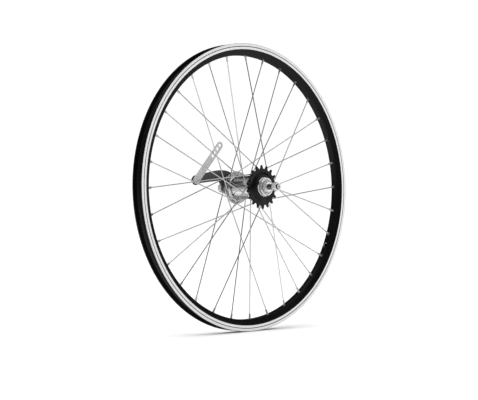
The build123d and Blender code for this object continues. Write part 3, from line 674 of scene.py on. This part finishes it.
def make_spokes():
    meshes = []
    for kind in range(KINDS):
        pattern = add_mesh(f"spoke_pattern_{kind}", spoke_mesh(kind), [WIRE], WIRE_CREASE)
        meshes.append(pattern.data)
        bpy.data.objects.remove(pattern)
    for index in range(SPOKE_COUNT):
        piece = bpy.data.objects.new(f"wire_{index + 1:02d}", meshes[index % KINDS])
        bpy.context.scene.collection.objects.link(piece)
        piece.matrix_world = turned_to(index)
        stand_for(piece, f"spoke_{index + 1:02d}", "wheel")


def make_nipples():
    skins = []
    for index in range(SPOKE_COUNT):
        verts, faces, slots = nipple_mesh(index % KINDS)
        turn = turned_to(index)
        skins.append(([tuple(turn @ Vector(v)) for v in verts], faces, slots))
    piece = add_mesh("nipple_set", join(*skins), [NICKEL], NIPPLE_CREASE)
    stand_for(piece, "nipples", "wheel")


make_spokes()
make_nipples()


# Hub shell

HUB_SEGMENTS = 192
HUB_CREASE = 30.0
SPOKE_HOLE_RADIUS = 1.3
SPOKE_HOLE_BEVEL = 0.2
SPOKE_HOLE_SIDES = 16
# The slope from barrel to flange: its length along Y, its rise, and the roundings at its foot and its top
SLOPE_LENGTH, SLOPE_RISE = 3.2, 2.2
SLOPE_FOOT_ROUND, SLOPE_TOP_ROUND = 3.0, 1.2
FLANGE_ROUND = 0.9
COLLAR_FOOT_ROUND, COLLAR_ROUND, CUP_ROUND = 0.6, 0.7, 0.3
# Where the outlines of barrel and flange start and end on the flange's flat faces
BARREL_LAND = FLANGE_RADIUS - 1.0
FLANGE_LAND = FLANGE_RADIUS - 2.0
BARREL_STEPS, FLANGE_STEPS, COLLAR_STEPS = 6, 5, 4
# The shell's inside from end to end: cup, seat of the clutch, drum, cup
SHELL_BORE = [(-27.0, 20.74), (-22.86, 16.6), (-18.0, 16.6), (-6.0, 18.0), (23.74, 18.0), (27.0, 21.26)]
# Slot of the flanges' flat faces, which take the darker chrome with its painted shade.
FLANGE_PAINTED_SHADE_SLOT = 1


def spoke_hole_centres(side):
    centres = []
    for index in range(SPOKE_COUNT):
        head = spoke_ends(index % KINDS)[0]
        if head.y * side > 0:
            at = turned_to(index) @ Vector((head.x, 0, head.z))
            centres.append((at.x, at.z))
    return centres


def make_hub_shell():
    near, far = FLANGE_Y - FLANGE_HALF, FLANGE_Y + FLANGE_HALF
    half = [
        (near - SLOPE_LENGTH, BARREL_RADIUS, SLOPE_FOOT_ROUND),
        (near, BARREL_RADIUS + SLOPE_RISE, SLOPE_TOP_ROUND),
        (near, BARREL_LAND, 0.0),
    ]
    barrel = rounded([(-y, r, c) for y, r, c in reversed(half)] + half, BARREL_STEPS)[1:-1]
    barrel_edge = max(r for _, r in barrel)
    cups = {-1: SHELL_BORE[0][1], 1: SHELL_BORE[-1][1]}
    inside = [(-FLANGE_Y, cups[-1])] + SHELL_BORE + [(FLANGE_Y, cups[1])]
    skins = [lathe(barrel, HUB_SEGMENTS), lathe(inside, HUB_SEGMENTS)]
    for side, cup in cups.items():
        rim = rounded([
            (near, FLANGE_LAND),
            (near, FLANGE_RADIUS, FLANGE_ROUND),
            (far, FLANGE_RADIUS, FLANGE_ROUND),
            (far, FLANGE_LAND),
        ], FLANGE_STEPS)[1:-1]
        collar = rounded([
            (far, FLANGE_LAND),
            (far, COLLAR_RADIUS, COLLAR_FOOT_ROUND),
            (SHELL_END, COLLAR_RADIUS, COLLAR_ROUND),
            (SHELL_END, cup, CUP_ROUND),
            (FLANGE_Y, cup),
        ], COLLAR_STEPS)[1:]
        rim_edge, collar_edge = rim[0][1], collar[0][1]
        for outline in (rim, collar):
            skins.append(lathe([(side * y, r) for y, r in outline], HUB_SEGMENTS))
        centres = spoke_hole_centres(side)
        wide = [circle(SPOKE_HOLE_RADIUS + SPOKE_HOLE_BEVEL, SPOKE_HOLE_SIDES, c) for c in centres]
        # The flat faces of the flange take the chrome painted darker, a painted reflection of dark
        # surroundings.
        for y, inner_edge in ((near, barrel_edge), (far, collar_edge)):
            loops = [circle(rim_edge, HUB_SEGMENTS), circle(inner_edge, HUB_SEGMENTS)] + wide
            skins.append(flat_with_holes(loops, side * y, FLANGE_PAINTED_SHADE_SLOT))
        for centre, mouth in zip(centres, wide):
            hole = circle(SPOKE_HOLE_RADIUS, SPOKE_HOLE_SIDES, centre)
            levels = [
                (mouth, near), (hole, near + SPOKE_HOLE_BEVEL), (hole, far - SPOKE_HOLE_BEVEL), (mouth, far),
            ]
            for (low, low_y), (high, high_y) in zip(levels, levels[1:]):
                skins.append(loop_wall(low, side * low_y, high, side * high_y))
    piece = add_mesh("hub_barrel", join(*skins), [CHROME, FLANGE_CHROME_PAINTED_SHADE], HUB_CREASE)
    stand_for(piece, "hub_shell", "wheel")


make_hub_shell()


# Axle with its thread

THREAD_PITCH = 1.0
THREAD_DEPTH = 0.55
THREAD_SIDES = 40
THREAD_ROWS = 6
AXLE_CHAMFER = 0.8
AXLE_CREASE = 40.0
CENTRE_HOLE_RADIUS = 1.6
CENTRE_HOLE_DEPTH = 1.2
CUT_SLOT = 1


def make_axle():
    """Rows of points wind along the axle, and each row's end meets the start of the row one turn on."""
    low, high = AXLE_ENDS
    rows = int((high - low) / THREAD_PITCH * THREAD_ROWS) + 2 * THREAD_ROWS
    verts, faces = [], []
    for row in range(rows + 1):
        phase = row / THREAD_ROWS % 1.0
        crest = AXLE_RADIUS - THREAD_DEPTH * abs(2 * phase - 1)
        for i in range(THREAD_SIDES):
            share = i / THREAD_SIDES
            y = low + THREAD_PITCH * (row / THREAD_ROWS + share - 1)
            y = max(low, min(high, y))
            radius = min(crest, AXLE_RADIUS - AXLE_CHAMFER + min(y - low, high - y))
            verts.append(polar(radius, 2 * math.pi * share, y))
    for row in range(rows):
        for i in range(THREAD_SIDES):
            here = row * THREAD_SIDES + i
            there = here + 1
            if i == THREAD_SIDES - 1:
                if row + THREAD_ROWS >= rows:
                    continue
                there = (row + THREAD_ROWS) * THREAD_SIDES
            faces.append((here, there, there + THREAD_SIDES, here + THREAD_SIDES))
    skins = [(verts, faces, [0] * len(faces))]
    for end, inward in ((low, 1), (high, -1)):
        face = [
            (end, AXLE_RADIUS - AXLE_CHAMFER),
            (end, CENTRE_HOLE_RADIUS),
            (end + inward * CENTRE_HOLE_DEPTH, 0.0),
        ]
        skins.append(lathe(face, THREAD_SIDES, slot_of=lambda edge: CUT_SLOT))
    piece = add_mesh("axle_thread", join(*skins), [AXLE_STEEL, CUT_STEEL], AXLE_CREASE)
    stand_for(piece, "axle", "axle")


make_axle()


# Plates and turned pieces with rounded edges

# Node, body, slot, rounding of the edges, and whether only its outer edges are rounded
SOFTENED = {
    "sprocket_plate": ("sprocket", "driver", "sprocket_black", 0.35),
    "snap_ring_wire": ("snap_ring", "driver", "ring_chrome", 0.35),
    "driver_turning": ("driver", "driver", "driver_steel", 0.15),
    "driver_cap_pressing": ("driver_dust_cap", "driver", "driver_steel", 0.2),
    "shell_cap_pressing": ("shell_dust_cap", "driver", "hub_chrome", 0.3),
    "brake_cap_pressing": ("brake_dust_cap", "axle", "hub_chrome", 0.3),
    "drive_cone_turning": ("drive_cone", "axle", "driver_steel", 0.3),
    "arm_pressing": ("brake_arm", "axle", "arm_paint", 0.4, True),
    "strap_pressing": ("arm_clip", "clip", "clip_zinc", 0.45),
}
ROUND_STEPS = 3
SHARP_EDGE = math.radians(28.0)
FLAT_JOIN = math.radians(0.5)
CREASE = math.cos(math.radians(36.0))


def shade_by_area(mesh):
    """Normals that follow the large faces, so that a flat stays flat beside its rounded edge."""
    around = [[] for _ in mesh.vertices]
    for face in mesh.polygons:
        for vertex in face.vertices:
            around[vertex].append((face.normal.copy(), face.area))
    corners = []
    for face in mesh.polygons:
        own = face.normal.copy()
        for vertex in face.vertices:
            mean = Vector()
            for normal, area in around[vertex]:
                if normal.dot(own) > CREASE:
                    mean += normal * area
            corners.append(mean.normalized())
    mesh.normals_split_custom_set(corners)


def make_softened(name, node, body, slot, edge, outer_only=False):
    """A solid's mesh with its sharp edges rounded, in the solid's place."""
    mesh = nodes[node].data.copy()
    mesh.name = name
    work = bmesh.new()
    work.from_mesh(mesh)
    bmesh.ops.remove_doubles(work, verts=work.verts, dist=WELD_GAP)
    bmesh.ops.dissolve_limit(work, angle_limit=FLAT_JOIN, verts=work.verts, edges=work.edges)
    sharp = [e for e in work.edges if e.calc_face_angle(0.0) > SHARP_EDGE]
    if outer_only:
        sharp = [e for e in sharp if e.is_convex]
    bmesh.ops.bevel(
        work, geom=sharp, offset=edge * MM, offset_type="OFFSET", segments=ROUND_STEPS, profile=0.5,
        affect="EDGES", clamp_overlap=False)
    work.to_mesh(mesh)
    work.free()
    mesh.polygons.foreach_set("use_smooth", [True] * len(mesh.polygons))
    shade_by_area(mesh)
    piece = bpy.data.objects.new(name, mesh)
    bpy.context.scene.collection.objects.link(piece)
    stand_for(piece, node, body)


for name, details in SOFTENED.items():
    make_softened(name, *details)


# Nuts and the clip's bolt

# Node, body, ends along Y, width across the flats, radius of the bore
NUTS = {
    "drive_locknut_hex": ("drive_locknut", "axle", (-54.9, -50.9), 17.0, 5.05),
    "arm_locknut_hex": ("arm_locknut", "axle", (45.0, 49.0), 17.0, 5.05),
    "drive_nut_hex": ("drive_axle_nut", "drive_nut", (-76.4, -67.9), 15.0, 5.05),
    "brake_nut_hex": ("brake_axle_nut", "brake_nut", (62.0, 70.5), 15.0, 5.05),
    "clip_nut_hex": ("clip_nut", "axle", (45.0, 50.0), 10.0, 3.05),
}
BOLT_PLACE = (-87.5, 12.1)
BOLT_RADIUS = 3.0
BOLT_END = 51.5
BOLT_HEAD = (36.2, 40.2)
BOLT_ACROSS = 10.0
HEX_SIDES = 96
NUT_CREASE = 25.0
CORNER_CUT = 0.35
MOUTH_BEVEL = 0.5
FACE_STEP = 0.25
FACE_SLOPE = math.tan(math.radians(30.0))


def hexagon_reach(turn, across):
    """A hexagon's radius at an angle from the middle of a flat, with its corners rubbed down."""
    sixth = math.pi / 3
    from_flat = (turn + sixth / 2) % sixth - sixth / 2
    return min(across / 2 / math.cos(from_flat), across / math.sqrt(3) - CORNER_CUT)


def hexagon_column(turn, low, high, across):
    """The outside of a nut along Y at one angle. Its end faces are round, and turned off to the corners."""
    face = across / 2 - FACE_STEP
    reach = hexagon_reach(turn, across)
    fall = (reach - face) * FACE_SLOPE
    return [(low, face), (low + fall, reach), (high - fall, reach), (high, face)]


def wrapped(columns, centre, closed):
    """A skin over columns of (y, radius) points at equal steps round an axis along Y."""
    verts, faces = [], []
    count, length = len(columns), len(columns[0])
    for turn, column in zip(full_turn(count), columns):
        for y, radius in column:
            x, _, z = polar(radius, turn, y)
            verts.append((x + centre[0], y, z + centre[1]))
    for number in range(count):
        strip = bridge(number * length, (number + 1) % count * length, length)
        faces += strip if closed else strip[:-1]
    return verts, faces, [0] * len(faces)


def add_nut_piece(name, skin, node, body):
    piece = add_mesh(name, skin, [NUT_ZINC], NUT_CREASE)
    stand_for(piece, node, body)


def make_nuts():
    for name, (node, body, (low, high), across, bore) in NUTS.items():
        mouth = bore + MOUTH_BEVEL
        lower = [(low + MOUTH_BEVEL, bore), (low, mouth)]
        upper = [(high, mouth), (high - MOUTH_BEVEL, bore)]
        columns = [lower + hexagon_column(turn, low, high, across) + upper for turn in full_turn(HEX_SIDES)]
        centre = BOLT_PLACE if node == "clip_nut" else (0.0, 0.0)
        add_nut_piece(name, wrapped(columns, centre, closed=True), node, body)


def make_bolt():
    low, high = BOLT_HEAD
    crown = [(low, 0.0)]
    shank = [
        (high, BOLT_RADIUS),
        (BOLT_END - MOUTH_BEVEL, BOLT_RADIUS),
        (BOLT_END, BOLT_RADIUS - MOUTH_BEVEL),
        (BOLT_END, 0.0),
    ]
    columns = [crown + hexagon_column(turn, low, high, BOLT_ACROSS) + shank for turn in full_turn(HEX_SIDES)]
    add_nut_piece("clip_bolt_hex", wrapped(columns, BOLT_PLACE, closed=False), "clip_bolt", "axle")


make_nuts()
make_bolt()


# Camera at the photograph's viewpoint, in metres and in pixels of the photograph

CAMERA_AZIMUTH = math.radians(-44.54)
CAMERA_ELEVATION = math.radians(-0.95)
CAMERA_DISTANCE = 2.20675
CAMERA_RIGHT = -0.0152
CAMERA_UP = -0.0229
FOCAL_PIXELS = 1215.14
PHOTO_WIDTH = 478
SENSOR = 36.0


def make_camera():
    back = Vector((
        math.sin(CAMERA_AZIMUTH) * math.cos(CAMERA_ELEVATION),
        -math.cos(CAMERA_AZIMUTH) * math.cos(CAMERA_ELEVATION),
        math.sin(CAMERA_ELEVATION),
    ))
    right = Vector((math.cos(CAMERA_AZIMUTH), math.sin(CAMERA_AZIMUTH), 0))
    up = back.cross(right)
    data = bpy.data.cameras.new("photo_camera")
    data.sensor_width = SENSOR
    data.lens = SENSOR * FOCAL_PIXELS / PHOTO_WIDTH
    camera = bpy.data.objects.new("photo_camera", data)
    turn = Matrix((right, up, back)).transposed().to_4x4()
    turn.translation = back * CAMERA_DISTANCE + right * CAMERA_RIGHT + up * CAMERA_UP
    camera.matrix_world = turn
    bpy.context.scene.collection.objects.link(camera)
    bpy.context.scene.camera = camera


make_camera()


# Floor, studio light and surroundings, in metres

FLOOR_Z = -0.2605
FLOOR_HALF = 14.0
SOFT_LIGHT = 1.0
BACKDROP = 1.05
OVERHEAD_TILT = (12.0, -10.0, 0.0)
# How bright mirrors see the studio, from straight below at 0 to straight above at 1
MIRROR_STOPS = (
    (0.0, 0.8), (0.14, 0.6), (0.2, 1.0), (0.26, 0.9), (0.36, 0.58), (0.46, 0.36), (0.53, 0.14), (0.6, 0.06),
    (0.66, 0.16), (0.7, 0.15), (0.75, 0.05), (0.8, 0.06), (0.84, 0.3), (0.88, 0.12), (0.95, 0.9), (1.0, 1.0),
)
# Where mirrors see it dimmed, along X + Y and along Y: from, to, brightness at each
BEHIND = (0.55, 0.95, 1.0, 0.22)
IN_FRONT = (-1.0, -0.8, 0.4, 1.0)


def make_floor():
    mesh = bpy.data.meshes.new("studio_floor")
    corners = [(-1, -1), (1, -1), (1, 1), (-1, 1)]
    mesh.from_pydata([(x * FLOOR_HALF, y * FLOOR_HALF, FLOOR_Z) for x, y in corners], [], [(0, 1, 2, 3)])
    look = Look("pale_floor", Roughness=0.9, Specular_IOR_Level=0.1)
    look.set("Base Color", look.ramp(look.noise(look.place(), 3.0), grey(0.9), grey(0.92)))
    mesh.materials.append(look.material)
    floor = bpy.data.objects.new("studio_floor", mesh)
    floor.visible_glossy = False
    bpy.context.scene.collection.objects.link(floor)


def make_surroundings():
    """Even light on matt surfaces, and a studio for mirrors: bright below and above, dark between."""
    world = bpy.data.worlds.new("studio")
    bpy.context.scene.world = world
    world.use_nodes = True
    tree = world.node_tree
    tree.nodes.clear()

    def node(kind):
        return tree.nodes.new("ShaderNode" + kind)

    def background(strength):
        made = node("Background")
        made.inputs["Color"].default_value = (1, 1, 1, 1)
        made.inputs["Strength"].default_value = strength
        return made

    def mix(factor, first, second):
        made = node("MixShader")
        tree.links.new(factor, made.inputs[0])
        tree.links.new(first.outputs[0], made.inputs[1])
        tree.links.new(second.outputs[0], made.inputs[2])
        return made

    def pair(operation, first, second):
        made = node("Math")
        made.operation = operation
        tree.links.new(first, made.inputs[0])
        tree.links.new(second, made.inputs[1])
        return made.outputs[0]

    def dimmed(value, limits):
        made = node("MapRange")
        tree.links.new(value, made.inputs["Value"])
        for socket, limit in zip(("From Min", "From Max", "To Min", "To Max"), limits):
            made.inputs[socket].default_value = limit
        return made.outputs["Result"]

    split = node("SeparateXYZ")
    tree.links.new(node("TexCoord").outputs["Generated"], split.inputs[0])
    x, y, z = split.outputs
    band = node("ValToRGB")
    tree.links.new(dimmed(z, (-1.0, 1.0, 0.0, 1.0)), band.inputs["Fac"])
    stops = band.color_ramp.elements
    for stop, (position, value) in zip(stops, (MIRROR_STOPS[0], MIRROR_STOPS[-1])):
        stop.position, stop.color = position, (*grey(value), 1)
    for position, value in MIRROR_STOPS[1:-1]:
        stops.new(position).color = (*grey(value), 1)
    mirrored = background(1.0)
    tree.links.new(band.outputs["Color"], mirrored.inputs["Color"])
    strength = pair("MULTIPLY", dimmed(pair("ADD", x, y), BEHIND), dimmed(y, IN_FRONT))
    tree.links.new(strength, mirrored.inputs["Strength"])
    path = node("LightPath")
    lit = mix(path.outputs["Is Glossy Ray"], background(SOFT_LIGHT), mirrored)
    seen = mix(path.outputs["Is Camera Ray"], lit, background(BACKDROP))
    tree.links.new(seen.outputs[0], node("OutputWorld").inputs[0])


def add_light(name, data, mirrored):
    light = bpy.data.objects.new(name, data)
    light.visible_glossy = mirrored
    bpy.context.scene.collection.objects.link(light)
    return light


def overhead(strength, spread):
    data = bpy.data.lights.new("overhead", "SUN")
    data.energy = strength
    data.angle = math.radians(spread)
    light = add_light("overhead", data, mirrored=False)
    light.rotation_euler = [math.radians(tilt) for tilt in OVERHEAD_TILT]


def soft_box(name, place, width, height, power, mirrored):
    """A large soft light that faces the middle of the wheel."""
    data = bpy.data.lights.new(name, "AREA")
    data.shape = "RECTANGLE"
    data.size, data.size_y, data.energy = width, height, power
    light = add_light(name, data, mirrored)
    light.location = place
    light.rotation_euler = (-Vector(place)).to_track_quat("-Z", "Y").to_euler()


make_floor()
make_surroundings()
overhead(strength=1.0, spread=70.0)
soft_box("key_right", (2.6, -2.4, 0.3), width=2.6, height=1.8, power=12.0, mirrored=True)
soft_box("back_left", (-2.2, 2.4, 0.9), width=2.0, height=2.0, power=12.0, mirrored=False)

bpy.context.scene.view_settings.view_transform = "Standard"
